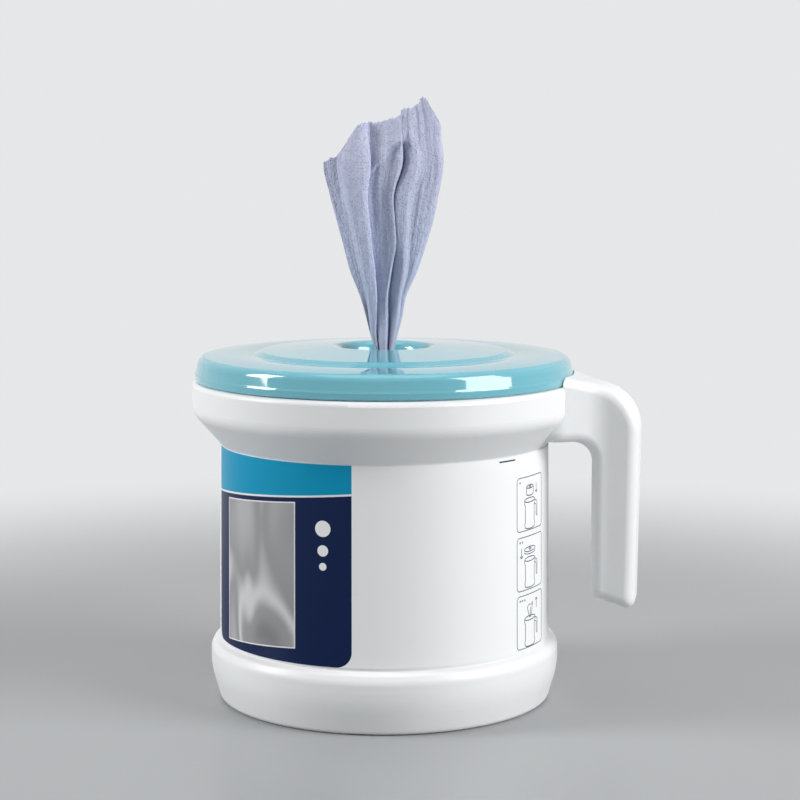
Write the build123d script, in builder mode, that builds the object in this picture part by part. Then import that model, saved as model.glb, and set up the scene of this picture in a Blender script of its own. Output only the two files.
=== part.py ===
"""Portable centrefeed dispenser for wiping paper: a blow-moulded bucket with a hook handle,
a push-on lid with a feed nozzle in the middle, and the coreless roll that feeds up through it.

Frame: the origin is the centre of the face it stands on, +Z is up, the handle points along +X.
All sizes are millimetres.
"""

import os
from math import cos, radians, sin, tan

from build123d import *

os.makedirs("parts", exist_ok=True)

# Paper roll that the bucket is made around
roll_diameter = 190.0
sheet_width = 194.0
heart_diameter = 60.0
roll_edge = 1.5

# Bucket, one blow-moulded wall all over
wall = 2.0
roll_side_gap = 0.7
finger_room = 12.9
roll_above_rim = 1.2
neck_height = 7.2
neck_edge = 0.8
neck_root = 1.0
seat_width = 4.3
seat_edge = 3.0
collar_height = 18.3
collar_slope = 41.6
collar_round = 10.0
panel_root = 1.5
panel_taper = 1.1
panel_base_edge = 0.8

# Base ring and foot of the bucket
base_height = 36.8
shoulder_reach = 3.6
shoulder_drop = 1.6
shoulder_edge = 2.6
ring_reach = 5.7
ring_top_drop = 5.6
ring_edge = 7.0
ring_waist_share = 0.5215
ring_round_share = 3.6
base_slope = 16.0
foot_edge = 3.5
foot_width = 8.0
push_up = 3.2
push_up_edge = 2.4

# Hook handle
finger_gap = 27.3
handle_depth = 27.5
handle_width = 31.0
handle_edge = 6.5
handle_taper = 1.6
root_rise = 4.6
root_slope = 15.0
root_depth = 37.2
root_width = 56.0
root_side = 6.0
root_edge = 14.0
root_flare = 15.0
flare_bend = 24.0
lid_slot = 0.5
outer_bend = 27.0
inner_bend = 12.0
handle_end_height = 58.0
handle_end_slant = 8.0
handle_end_edge = 4.5

# Wrap label
label_thickness = 0.25
glue_line = 0.15
label_margin = 0.7
label_foot_margin = 1.7
label_seam = 1.5
label_seam_angle = 8.0

# Lid
lid_wall = 1.8
skirt_gap = 0.4
skirt_seat_gap = 0.6
skirt_bead = 0.5
skirt_bead_height = 3.8
skirt_edge = 0.6
skirt_draft = 1.7
lid_head_gap = 6.0
dome_round = 5.0
crown_share = 0.47
crown_slope_in = 2.9
crown_slope_out = 5.8
crown_round_share = 3.4
disc_radius = 77.2
disc_rise = 1.3
disc_slope_width = 4.3
disc_edge = 2.0
disc_crown = 3.0
funnel_radius = 26.5
funnel_lip = 6.0
funnel_depth = 23.3
funnel_floor_radius = 18.5
funnel_root = 2.5

# Feed nozzle and the ring that holds it under the funnel
throat_radius = 13.5
nozzle_gap = 0.2
nozzle_wall = 1.3
nozzle_flange = 3.0
flange_thickness = 1.6
nozzle_stand = 0.7
petal_length = 9.0
petal_count = 6
petal_slot = 1.2
strand_gap = 0.35
boss_wall = 1.8
boss_depth = 5.0
ring_thickness = 2.0

# Paper: the loose inner turn, the gathered strand and the sheet that stands out of the lid
paper_thickness = 0.6
strand_radius = 6.2
strand_flutes = 7
flute_depth = 0.9
strand_end_gap = 14.0
turn_margin = 3.0
turn_clearance = 0.9
turn_sweep = 195.0
turn_tightening = 1.3
turn_head_gap = 3.0
sheet_turn = 11.0
sheet_reach = 35.0

# Places worked out from the sizes above
roll_radius = roll_diameter / 2
heart_radius = heart_diameter / 2
floor_z = push_up + wall
roll_top_z = floor_z + sheet_width
rim_z = roll_top_z - roll_above_rim
seat_z = rim_z - neck_height
neck_radius = roll_radius + finger_room + wall
collar_radius = neck_radius + seat_width
panel_top_radius = roll_radius + roll_side_gap + wall
panel_base_radius = panel_top_radius + panel_taper
collar_corner_z = seat_z - collar_height
panel_top_z = collar_corner_z - (collar_radius - panel_top_radius) / tan(radians(collar_slope))
ring_radius = panel_base_radius + ring_reach
ring_waist = base_height * ring_waist_share
ring_round = ring_round_share * (base_height - ring_top_drop - ring_waist)
foot_radius = ring_radius - ring_waist * tan(radians(base_slope))
label_radius = panel_top_radius + glue_line + label_thickness
skirt_radius = neck_radius + skirt_gap
lid_radius = skirt_radius + lid_wall + skirt_bead
slot_radius = lid_radius + lid_slot
lid_top_z = roll_top_z + lid_head_gap + lid_wall
disc_z = lid_top_z + disc_rise
lip_z = disc_z + disc_crown
funnel_floor_z = lip_z - funnel_depth


def turned_section(corners):
    """Closed outline in the half plane through the axis, from (radius, height, fillet) corners."""
    points = [(radius, height) for radius, height, _ in corners]
    fillets = [fillet for _, _, fillet in corners]
    FilletPolyline(*points, radius=fillets, close=True)


# Bucket outline, from the axis at the base out and up to the rim
outer_corners = [
    (0, push_up, 0),
    (foot_radius - foot_edge - foot_width, push_up, push_up_edge),
    (foot_radius - foot_edge - foot_width, 0, 0),
    (foot_radius, 0, foot_edge),
    (ring_radius, ring_waist, ring_round),
    (ring_radius, base_height - ring_top_drop, ring_edge),
    (panel_base_radius + shoulder_reach, base_height - shoulder_drop, shoulder_edge),
    (panel_base_radius, base_height, panel_base_edge),
    (panel_top_radius, panel_top_z, panel_root),
    (collar_radius, collar_corner_z, collar_round),
    (collar_radius, seat_z, seat_edge),
    (neck_radius, seat_z, neck_root),
    (neck_radius, rim_z, 0),
    (0, rim_z, 0),
]


def inner_round(radius):
    """Rounding of an outward corner where the face one wall further in turns it."""
    return max(radius - wall, 0.2)


# The same outline one wall further in
floor_edge_radius = foot_radius - foot_edge - foot_width
inner_corners = [
    (0, floor_z, 0),
    (floor_edge_radius + wall / 2, floor_z, push_up_edge + wall),
    (floor_edge_radius + wall, wall, 0),
    (foot_radius - 1.5 * wall, wall, foot_edge / 2),
    (ring_radius - wall, ring_waist, inner_round(ring_round)),
    (ring_radius - wall, base_height - ring_top_drop - wall / 2, inner_round(ring_edge)),
    (panel_base_radius + shoulder_reach - wall, base_height - shoulder_drop - wall, inner_round(shoulder_edge)),
    (panel_base_radius - wall, base_height - wall / 2, panel_base_edge + wall),
    (panel_top_radius - wall, panel_top_z + wall / 2, panel_root + wall),
    (collar_radius - wall, collar_corner_z + wall / 2, inner_round(collar_round)),
    (collar_radius - wall, seat_z - wall, inner_round(seat_edge)),
    (neck_radius - wall, seat_z - wall, neck_root + wall),
    (neck_radius - wall, rim_z + wall, 0),
    (0, rim_z + wall, 0),
]


def handle_form(inset):
    """The hook with its faces moved in by inset, running on into the bucket at its root."""
    inner_x = label_radius + finger_gap + inset
    outer_x = label_radius + finger_gap + handle_depth - inset
    root_x = panel_top_radius - 2 * wall
    top_z = seat_z + root_rise - inset
    under_z = seat_z + root_rise - root_depth + inset
    end_z = handle_end_height + inset
    slope = tan(radians(root_slope))
    half = handle_width / 2 - inset
    root_half = root_width / 2 - inset
    with BuildPart() as form:
        # side view of the hook
        with BuildSketch(Plane.XZ):
            with BuildLine():
                turned_section([
                    (root_x, top_z + (collar_radius - root_x) * slope, 0),
                    (outer_x, top_z - (outer_x - collar_radius) * slope, outer_bend - inset),
                    (outer_x - handle_taper, end_z, handle_end_edge - inset),
                    (inner_x, end_z + handle_end_slant, handle_end_edge - inset),
                    (inner_x, under_z, inner_bend + inset),
                    (root_x, under_z, 0),
                ])
            make_face()
        extrude(amount=root_width, both=True)
        # plan view, widening to the root
        with BuildSketch(Plane.XY.offset(end_z - wall)):
            with BuildLine():
                turned_section([
                    (root_x, root_half, 0),
                    (collar_radius - root_side, root_half, root_edge),
                    (collar_radius + root_flare, half, flare_bend),
                    (outer_x + wall, half, 0),
                    (outer_x + wall, -half, 0),
                    (collar_radius + root_flare, -half, flare_bend),
                    (collar_radius - root_side, -root_half, root_edge),
                    (root_x, -root_half, 0),
                ])
            make_face()
        extrude(amount=rim_z, mode=Mode.INTERSECT)
        sides = form.faces().filter_by(lambda face: abs(face.normal_at().Y) > 0.5)
        profile = form.faces().filter_by(lambda face: abs(face.normal_at().Y) < 0.5)
        profile_edges = profile.filter_by(lambda face: face.center().X > root_x + wall).edges()
        rims = sides.edges().filter_by(lambda edge: edge in profile_edges)
        fillet(rims, radius=handle_edge - inset)
        # room for the lid beside the top of the root
        with BuildSketch(Plane.XY.offset(seat_z - inset)):
            Circle(slot_radius + inset)
        extrude(amount=rim_z, mode=Mode.SUBTRACT)
    return form.part


# Bucket body, one wall all over
with BuildPart() as bucket_outside:
    with BuildSketch(Plane.XZ):
        with BuildLine():
            turned_section(outer_corners)
        make_face()
    revolve(axis=Axis.Z)

with BuildPart() as bucket_body:
    add(bucket_outside.part)
    with BuildSketch(Plane.XZ):
        with BuildLine():
            turned_section(inner_corners)
        make_face()
    revolve(axis=Axis.Z, mode=Mode.SUBTRACT)
    rim_edges = bucket_body.edges().filter_by(GeomType.CIRCLE).group_by(Axis.Z)[-1]
    fillet(rim_edges, radius=neck_edge)
bucket_body.part.label = "bucket_body"
export_step(bucket_body.part, "parts/bucket_body.step")

# Hollow hook handle, moulded on to the collar, which closes its root
handle_outside = handle_form(0)
handle_inside = handle_form(wall)
with BuildPart() as hook_handle:
    add(handle_outside)
    add(bucket_outside.part, mode=Mode.SUBTRACT)
    add(handle_inside, mode=Mode.SUBTRACT)
hook_handle.part.label = "hook_handle"
export_step(hook_handle.part, "parts/hook_handle.step")

# Wrap label, one printed film round the panel, with its seam beside the handle
label_base_z = base_height + label_foot_margin
label_top_z = panel_top_z - label_margin


def panel_radius_at(height):
    """Radius of the panel's outer face, which tapers evenly from base to top."""
    share = (height - base_height) / (panel_top_z - base_height)
    return panel_base_radius - share * panel_taper


with BuildPart() as wrap_label:
    base_radius = panel_radius_at(label_base_z) + glue_line
    top_radius = panel_radius_at(label_top_z) + glue_line
    with BuildSketch(Plane.XZ):
        with BuildLine():
            Polyline(
                (base_radius, label_base_z),
                (base_radius + label_thickness, label_base_z),
                (top_radius + label_thickness, label_top_z),
                (top_radius, label_top_z),
                close=True,
            )
        make_face()
    revolve(axis=Axis.Z)
    seam_plane = Plane.XY.offset(base_height).rotated((0, 0, label_seam_angle))
    with BuildSketch(seam_plane):
        with Locations((panel_base_radius, 0)):
            Rectangle(4 * wall, label_seam)
    extrude(amount=panel_top_z - base_height, mode=Mode.SUBTRACT)
wrap_label.part.label = "wrap_label"
export_step(wrap_label.part, "parts/wrap_label.step")

# Lid, crowned between its skirt and the stepped disc, which rises to the funnel
skirt_base_z = seat_z + skirt_seat_gap
bead_z = skirt_base_z + skirt_bead_height
outer_skirt = skirt_radius + lid_wall
shoulder_radius = outer_skirt - skirt_draft
crown_radius = disc_radius + crown_share * (shoulder_radius - disc_radius)
crown_round = crown_round_share * (shoulder_radius - disc_radius)
shoulder_z = lid_top_z - (shoulder_radius - crown_radius) * tan(radians(crown_slope_out))
foot_z = lid_top_z - (crown_radius - disc_radius) * tan(radians(crown_slope_in))
funnel_under = funnel_radius + lid_wall
with BuildPart() as lid_shell:
    with BuildSketch(Plane.XZ):
        with BuildLine():
            turned_section([
                (skirt_radius, skirt_base_z, 0),
                (outer_skirt + skirt_bead / 2, skirt_base_z, skirt_edge),
                (lid_radius, bead_z, skirt_edge),
                (outer_skirt, bead_z + 2 * skirt_edge, skirt_edge),
                (shoulder_radius, shoulder_z, dome_round),
                (crown_radius, lid_top_z, crown_round),
                (disc_radius, foot_z, disc_edge),
                (disc_radius - disc_slope_width, disc_z, disc_edge),
                (funnel_radius, lip_z, funnel_lip),
                (funnel_floor_radius, funnel_floor_z, funnel_root),
                (throat_radius, funnel_floor_z, 0),
                (throat_radius, funnel_floor_z - lid_wall, 0),
                (funnel_floor_radius + lid_wall / 2, funnel_floor_z - lid_wall, funnel_root),
                (funnel_under, lip_z - lid_wall, funnel_lip - lid_wall),
                (disc_radius - disc_slope_width - lid_wall / 2, disc_z - lid_wall, disc_edge),
                (disc_radius - lid_wall / 2, foot_z - lid_wall, disc_edge),
                (crown_radius, lid_top_z - lid_wall, crown_round),
                (skirt_radius, shoulder_z - lid_wall, dome_round - lid_wall),
            ])
        make_face()
    revolve(axis=Axis.Z)
    # collar under the throat that the nozzle ring snaps into
    with BuildSketch(Plane.XY.offset(funnel_floor_z - lid_wall)):
        Circle(throat_radius + nozzle_flange + nozzle_gap + boss_wall)
        Circle(throat_radius + nozzle_flange + nozzle_gap, mode=Mode.SUBTRACT)
    extrude(amount=-boss_depth)
lid_shell.part.label = "lid_shell"
export_step(lid_shell.part, "parts/lid_shell.step")

# Feed nozzle, a cone of sprung petals that closes on the strand
nozzle_tube = throat_radius - nozzle_gap
flange_top_z = funnel_floor_z - lid_wall
petal_radius = strand_radius + strand_gap
flange_base_z = flange_top_z - flange_thickness
with BuildPart() as feed_nozzle:
    with BuildSketch(Plane.XZ):
        with BuildLine():
            Polyline(
                (nozzle_tube, funnel_floor_z + nozzle_stand),
                (nozzle_tube, flange_top_z),
                (throat_radius + nozzle_flange, flange_top_z),
                (throat_radius + nozzle_flange, flange_base_z),
                (nozzle_tube, flange_base_z),
                (petal_radius + nozzle_wall, flange_base_z - petal_length),
                (petal_radius, flange_base_z - petal_length),
                (nozzle_tube - nozzle_wall, flange_base_z),
                (nozzle_tube - nozzle_wall, funnel_floor_z + nozzle_stand),
                close=True,
            )
        make_face()
    revolve(axis=Axis.Z)
    with BuildSketch(Plane.XY.offset(flange_base_z - petal_length)):
        with PolarLocations((petal_radius + nozzle_tube) / 2, petal_count):
            Rectangle(nozzle_tube, petal_slot)
    extrude(amount=petal_length - petal_slot, mode=Mode.SUBTRACT)
feed_nozzle.part.label = "feed_nozzle"
export_step(feed_nozzle.part, "parts/feed_nozzle.step")

# Snap ring that clamps the nozzle flange against the funnel floor
with BuildPart() as nozzle_ring:
    with BuildSketch(Plane.XY.offset(flange_base_z)):
        Circle(throat_radius + nozzle_flange + nozzle_gap / 2)
        Circle(nozzle_tube + nozzle_gap, mode=Mode.SUBTRACT)
    extrude(amount=-ring_thickness)
    chamfer(nozzle_ring.edges().group_by(Axis.Z)[0], length=ring_thickness / 5)
nozzle_ring.part.label = "nozzle_ring"
export_step(nozzle_ring.part, "parts/nozzle_ring.step")

# Coreless roll, standing on the bucket floor
with BuildPart() as paper_roll:
    with BuildSketch(Plane.XY.offset(floor_z)):
        Circle(roll_radius)
        Circle(heart_radius, mode=Mode.SUBTRACT)
    extrude(amount=sheet_width)
    chamfer(paper_roll.edges().filter_by(GeomType.CIRCLE), length=roll_edge)
paper_roll.part.label = "paper_roll"
export_step(paper_roll.part, "parts/paper_roll.step")

# Loose inner turn, winding in from the heart's wall towards the strand
turn_start = heart_radius - paper_thickness / 2 - glue_line
turn_end = strand_radius + turn_clearance + paper_thickness / 2
turn_steps = 12
turn_front = []
turn_back = []
for step in range(turn_steps + 1):
    share = step / turn_steps
    radius = turn_start + (turn_end - turn_start) * share**turn_tightening
    angle = radians(turn_sweep * share)
    inside = radius - paper_thickness / 2
    outside = radius + paper_thickness / 2
    turn_front.append((inside * cos(angle), inside * sin(angle)))
    turn_back.append((outside * cos(angle), outside * sin(angle)))
turn_base_z = floor_z + turn_margin
turn_top_z = flange_base_z - petal_length - turn_head_gap
with BuildPart() as inner_turn:
    with BuildSketch(Plane.XY.offset(turn_base_z)):
        with BuildLine():
            front = Spline(*turn_front)
            back = Spline(*turn_back)
            Line(front @ 0, back @ 0)
            Line(front @ 1, back @ 1)
        make_face()
    extrude(amount=turn_top_z - turn_base_z)
inner_turn.part.label = "inner_turn"
export_step(inner_turn.part, "parts/inner_turn.step")

# Gathered strand, fluted by its pleats, from the heart up through the nozzle
strand_base_z = floor_z + strand_end_gap
sheet_base_z = funnel_floor_z + nozzle_stand
with BuildPart() as paper_strand:
    with BuildSketch(Plane.XY.offset(strand_base_z)):
        Circle(strand_radius)
        with PolarLocations(strand_radius + flute_depth / 2, strand_flutes):
            Circle(1.5 * flute_depth, mode=Mode.SUBTRACT)
    extrude(amount=sheet_base_z - strand_base_z)
paper_strand.part.label = "paper_strand"
export_step(paper_strand.part, "parts/paper_strand.step")

# Sheet standing out of the lid. Its folds in plan run from its left edge, along the front,
# round the right edge and back behind, as shares of the reach at each height
front_folds = [
    (-1.0, -0.25),
    (-0.68, 0.25),
    (-0.7, -0.5),
    (-0.24, -0.85),
    (-0.26, 0.2),
    (0.24, -0.5),
    (0.34, 0.05),
    (1.0, -0.15),
]
back_folds = [
    (0.92, 0.3),
    (0.5, 0.85),
    (0.12, 0.45),
    (-0.34, 0.9),
    (-0.82, 0.45),
]
# height above the nozzle, reach to the left, reach to the right, depth
sheet_levels = [
    (0.0, strand_radius, strand_radius, strand_radius),
    (20.3, 7.9, 7.2, 6.0),
    (33.0, 11.3, 10.0, 8.0),
    (50.0, 16.4, 16.8, 11.0),
    (65.0, 22.3, 24.5, 14.0),
    (86.0, 27.9, 30.6, 17.0),
    (111.0, 31.4, 34.8, 19.0),
    (131.0, 34.8, 35.3, 20.0),
    (168.0, 37.0, 32.0, 20.0),
]
# torn top edge: share of the reach across, height above the nozzle
torn_edge = [
    (-1.1, 128.0),
    (-0.86, 131.0),
    (-0.6, 154.0),
    (-0.1, 156.0),
    (0.15, 164.0),
    (0.55, 168.0),
    (0.78, 168.0),
    (0.95, 152.0),
    (1.1, 130.0),
]
with BuildPart() as paper_sheet:
    for height, left, right, depth in sheet_levels:
        level = Plane.XY.offset(sheet_base_z + height).rotated((0, 0, sheet_turn))
        with BuildSketch(level):
            with BuildLine():
                folds = [
                    (across * (left if across < 0 else right), along * depth)
                    for across, along in front_folds + back_folds
                ]
                Polyline(*folds, close=True)
            make_face()
    loft(ruled=True)
    above = [(across * sheet_reach, sheet_base_z + height) for across, height in torn_edge]
    cap_z = sheet_base_z + torn_edge[0][1] + 2 * sheet_reach
    with BuildSketch(Plane.XZ.rotated((0, 0, sheet_turn))):
        with BuildLine():
            Polyline(
                *above,
                (torn_edge[-1][0] * sheet_reach, cap_z),
                (torn_edge[0][0] * sheet_reach, cap_z),
                close=True,
            )
        make_face()
    extrude(amount=sheet_reach, both=True, mode=Mode.SUBTRACT)
paper_sheet.part.label = "paper_sheet"
export_step(paper_sheet.part, "parts/paper_sheet.step")
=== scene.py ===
"""Looks of the portable centrefeed dispenser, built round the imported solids.

Lengths are metres in the frame of the solids: +Z up, the handle along +X. The folds of the
paper are written in millimetres, seen from the front, and turned into that frame here.
"""

from math import cos, pi, radians, sin

import bpy
import numpy as np
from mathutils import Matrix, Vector, noise


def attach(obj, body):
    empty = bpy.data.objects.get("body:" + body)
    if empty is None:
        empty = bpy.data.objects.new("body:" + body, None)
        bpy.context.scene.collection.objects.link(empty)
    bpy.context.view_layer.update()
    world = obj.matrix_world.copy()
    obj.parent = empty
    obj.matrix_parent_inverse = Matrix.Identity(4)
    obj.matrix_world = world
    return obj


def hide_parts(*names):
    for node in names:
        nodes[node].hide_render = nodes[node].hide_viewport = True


MM = 0.001

# Where the front of the photograph lies, turned from -Y towards the handle
FRONT_TURN = 11.0
FRONT = radians(FRONT_TURN)

# The camera fitted to the photograph: metres, degrees, and pixels of focal length and of photo width
CAMERA_DISTANCE, CAMERA_HEIGHT = 1.248, 0.3334
CAMERA_PITCH, CAMERA_YAW = 7.10, 0.43
FOCAL_PIXELS, PHOTO_PIXELS = 2103, 800
SENSOR_WIDTH = 36.0

# Light, and the white that is seen behind the dispenser and on the floor further off
LAMP_AIM = Vector((0.0, 0.0, 0.12))
WHITE = (0.98, 0.99, 1.0, 1.0)
WHITE_SEEN = 0.81
WHITE_AS_LIGHT = 0.20
FLOOR_GREY = (0.33, 0.34, 0.35, 1.0)
FLOOR_REACH = 9
FLOOR_FADE = (0.34, 0.85)

# Paper that the roll is wound from
WIDTH_IN_MM = 194
SHEET_WIDTH = WIDTH_IN_MM * MM
PAPER_THICKNESS = 0.35 * MM
PAPER_TINT = (0.51, 0.53, 0.69, 1.0)
# painted shade: the paper goes towards this darker tint in the hollows of its pressed dots
PRESSED_DOT_SHADE_TINT = (0.32, 0.335, 0.475, 1.0)

# The roll, with a little play above and below it
ROLL_RADIUS = 95 * MM
HEART_RADIUS = 30 * MM
ROLL_FLOOR = 5.2 * MM
ROLL_END_GAP = 0.3 * MM
ROLL_TURNS = 62.0
STEPS_IN_A_TURN = 48

# The loose innermost turn: heights and radii in millimetres, and its sweep in degrees
LOOSE_FOOT, LOOSE_TOP = 8.2, 172.6
LOOSE_START, LOOSE_END = 29.3, 7.7
LOOSE_SWEEP = 195.0
LOOSE_TIGHTENING = 1.3

# Waves of noise: their pace across and up, where the noise is read, and their depth
LOOSE_WAVES = ((5.0, 0.02, 4.0, 1.9), (16.0, 0.05, 8.0, 0.5))
CRUMPLES = ((0.14, 0.02, 2.0, 0.9), (0.45, 0.05, 9.0, 0.28), (0.7, 0.45, 5.0, 0.28))

# Label film, in millimetres at its base and at the top of the panel
FILM_BASE_RADIUS, FILM_BASE_HEIGHT = 99.2, 38.5
FILM_TOP_RADIUS, FILM_TOP_HEIGHT = 98.1, 152.8

# The print is laid out flat at one radius, with turns in degrees from the front
PRINT_RADIUS = 98
MM_IN_A_DEGREE = pi * PRINT_RADIUS / 180
PRINT_SLANT = 0.08
PANEL_SIDES, PANEL_HEIGHTS, PANEL_CORNER = (-79.0, -10.7), (38.5, 170.0), 9.0
PICTURE_FRAME = (-67.0, -30.7, 44.5, 128.5)
PICTURE = (-66.6, -31.1, 45.2, 127.8)
RULE_FOOT, HEADER_FOOT, HEADER_TOP = 131.5, 132.6, 165.0
# Three white dots down the blue panel: their turn, and the height and radius of each
DOTS_AT = -20.5
WHITE_DOTS = ((117.0, 4.6), (104.5, 3.2), (95.5, 2.2))
# A short dark dash above the step drawings
DASH = (41.5, 49.5, 151.0, 151.9)
FILM_WHITE, PALE = (0.82, 0.83, 0.835, 1.0), (0.75, 0.77, 0.78, 1.0)
NAVY, CYAN, INK = (0.002, 0.012, 0.060, 1.0), (0.0, 0.27, 0.46, 1.0), (0.03, 0.035, 0.06, 1.0)
# Places between nought and one, and the grey of the printed folds at each
FOLD_GREYS = ((0.30, 0.17), (0.43, 0.30), (0.51, 0.58), (0.58, 0.30), (0.70, 0.42))

# Step drawings: their turn, and the size and middle heights of their frames in millimetres
DRAWINGS_AT = 59.6
FRAME_HEIGHTS = (124.5, 89.7, 55.5)
FRAME_HALF, FRAME_CORNER = 15.6, 2.4
HANDLE_ROOM = 1.5
ROLL_DRAWING, LID_DRAWING, SHEET_DRAWING = 120.5, 87.0, 52.0
LINE_WIDTH = 0.56
INK_FLATNESS = 0.16

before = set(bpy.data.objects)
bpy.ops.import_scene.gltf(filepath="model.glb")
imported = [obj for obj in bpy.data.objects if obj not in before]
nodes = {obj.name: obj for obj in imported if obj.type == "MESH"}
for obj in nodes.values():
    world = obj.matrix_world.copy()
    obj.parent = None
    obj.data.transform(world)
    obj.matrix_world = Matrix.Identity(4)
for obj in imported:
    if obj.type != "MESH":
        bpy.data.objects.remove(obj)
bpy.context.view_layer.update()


# Camera, floor and light


def add_object(name, data):
    """A new object, linked to the scene."""
    made = bpy.data.objects.new(name, data)
    bpy.context.scene.collection.objects.link(made)
    return made


def set_camera():
    """The photograph's camera, about as high as the torn edge and looking slightly down."""
    camera = bpy.data.cameras.new("camera")
    camera.sensor_width = SENSOR_WIDTH
    camera.lens = SENSOR_WIDTH * FOCAL_PIXELS / PHOTO_PIXELS
    camera.clip_end = 50.0
    viewer = add_object("camera", camera)
    viewer.location = (CAMERA_DISTANCE * sin(FRONT), -CAMERA_DISTANCE * cos(FRONT), CAMERA_HEIGHT)
    viewer.rotation_euler = (pi / 2 - radians(CAMERA_PITCH), 0.0, FRONT - radians(CAMERA_YAW))
    bpy.context.scene.camera = viewer
    bpy.context.scene.view_settings.view_transform = "Standard"


def softbox(name, turn, rise, distance, size, power):
    """A rectangular lamp, turned from the front towards the handle and raised, both in degrees."""
    lamp = bpy.data.lights.new(name, "AREA")
    lamp.shape = "RECTANGLE"
    lamp.size, lamp.size_y = size
    lamp.energy = power
    holder = add_object(name, lamp)
    around = FRONT + radians(turn)
    rise = radians(rise)
    away = Vector((sin(around) * cos(rise), -cos(around) * cos(rise), sin(rise)))
    holder.location = LAMP_AIM + away * distance
    holder.rotation_euler = away.to_track_quat("Z", "Y").to_euler()


def set_world():
    """White where the camera, gloss and clear plastic see it, dimmer as a light."""
    world = bpy.data.worlds.new("studio")
    bpy.context.scene.world = world
    world.use_nodes = True
    tree = world.node_tree
    background = tree.nodes["Background"]
    background.inputs["Color"].default_value = WHITE
    strength = add_node(
        tree, "ShaderNodeMapRange", in_Value=seen_rays(tree), in_To_Min=WHITE_AS_LIGHT, in_To_Max=WHITE_SEEN
    )
    feed(tree, strength.outputs[0], background.inputs["Strength"])


def make_floor():
    """A pale floor, grey under the dispenser, that passes into the white of the world further off."""
    mesh = bpy.data.meshes.new("floor")
    corners = [(x * FLOOR_REACH, y * FLOOR_REACH, 0) for x, y in ((-1, -1), (1, -1), (1, 1), (-1, 1))]
    mesh.from_pydata(corners, [], [(0, 1, 2, 3)])
    floor = add_object("floor", mesh)
    material, tree, shader = new_material("floor", Base_Color=FLOOR_GREY)
    cloud = add_node(tree, "ShaderNodeTexNoise", in_Vector=object_place(tree), in_Scale=4.0, in_Detail=3.0)
    feed(tree, maths(tree, "MULTIPLY_ADD", cloud.outputs[0], 0.12, 0.30), shader.inputs["Roughness"])
    away = add_node(tree, "ShaderNodeVectorMath", operation="LENGTH", in_0=object_place(tree))
    far = add_node(
        tree, "ShaderNodeMapRange", interpolation_type="SMOOTHSTEP", in_Value=away.outputs["Value"],
        in_From_Min=FLOOR_FADE[0], in_From_Max=FLOOR_FADE[1],
    )
    white = add_node(tree, "ShaderNodeEmission", in_Color=WHITE, in_Strength=WHITE_SEEN)
    shown = maths(tree, "MULTIPLY", far.outputs[0], seen_rays(tree))
    blend = add_node(tree, "ShaderNodeMixShader", in_0=shown)
    tree.links.new(shader.outputs[0], blend.inputs[1])
    tree.links.new(white.outputs[0], blend.inputs[2])
    tree.links.new(blend.outputs[0], tree.nodes["Material Output"].inputs["Surface"])
    set_material(floor, material)


# Node helpers


def add_node(tree, kind, **values):
    """A node with its settings, and its inputs set or linked by name or number."""
    made = tree.nodes.new(kind)
    for key, value in values.items():
        if key.startswith("in_"):
            key = key[3:].replace("_", " ")
            key = int(key) if key.isdigit() else key
            feed(tree, value, made.inputs[key])
        else:
            setattr(made, key, value)
    return made


def feed(tree, value, socket):
    """Links a socket, or writes a plain value to it."""
    if isinstance(value, bpy.types.NodeSocket):
        tree.links.new(value, socket)
    else:
        socket.default_value = value


def maths(tree, operation, *terms):
    """One Math node, as its output socket."""
    made = tree.nodes.new("ShaderNodeMath")
    made.operation = operation
    for place, term in enumerate(terms):
        feed(tree, term, made.inputs[place])
    return made.outputs[0]


def mixed(tree, share, first, second):
    """A colour between first and second. Sockets 6, 7 and 2 are those that hold colours."""
    made = add_node(tree, "ShaderNodeMix", data_type="RGBA")
    feed(tree, share, made.inputs["Factor"])
    feed(tree, first, made.inputs[6])
    feed(tree, second, made.inputs[7])
    return made.outputs[2]


def seen_rays(tree):
    """One for rays of the camera, gloss and clear plastic, and nought for the rest."""
    path = tree.nodes.new("ShaderNodeLightPath").outputs
    direct = maths(tree, "MAXIMUM", path["Is Camera Ray"], path["Is Glossy Ray"])
    return maths(tree, "MAXIMUM", direct, path["Is Transmission Ray"])


def new_group(name, inputs, outputs):
    """An empty shader group with named sockets: (name, type, value) and (name, type)."""
    group = bpy.data.node_groups.new(name, "ShaderNodeTree")
    for label, kind, value in inputs:
        socket = group.interface.new_socket(label, in_out="INPUT", socket_type=kind)
        if value is not None:
            socket.default_value = value
    for label, kind in outputs:
        group.interface.new_socket(label, in_out="OUTPUT", socket_type=kind)
    return group, group.nodes.new("NodeGroupInput"), group.nodes.new("NodeGroupOutput")


def use_group(tree, group, **values):
    """A group placed in a material, with its inputs set by name."""
    made = tree.nodes.new("ShaderNodeGroup")
    made.node_tree = group
    for key, value in values.items():
        feed(tree, value, made.inputs[key.replace("_", " ")])
    return made


def new_material(name, **values):
    """A material, its tree and its shader, with the shader's own sockets set."""
    material = bpy.data.materials.new(name)
    material.use_nodes = True
    tree = material.node_tree
    shader = tree.nodes["Principled BSDF"]
    for key, value in values.items():
        shader.inputs[key.replace("_", " ")].default_value = value
    return material, tree, shader


# Shader groups


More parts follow.
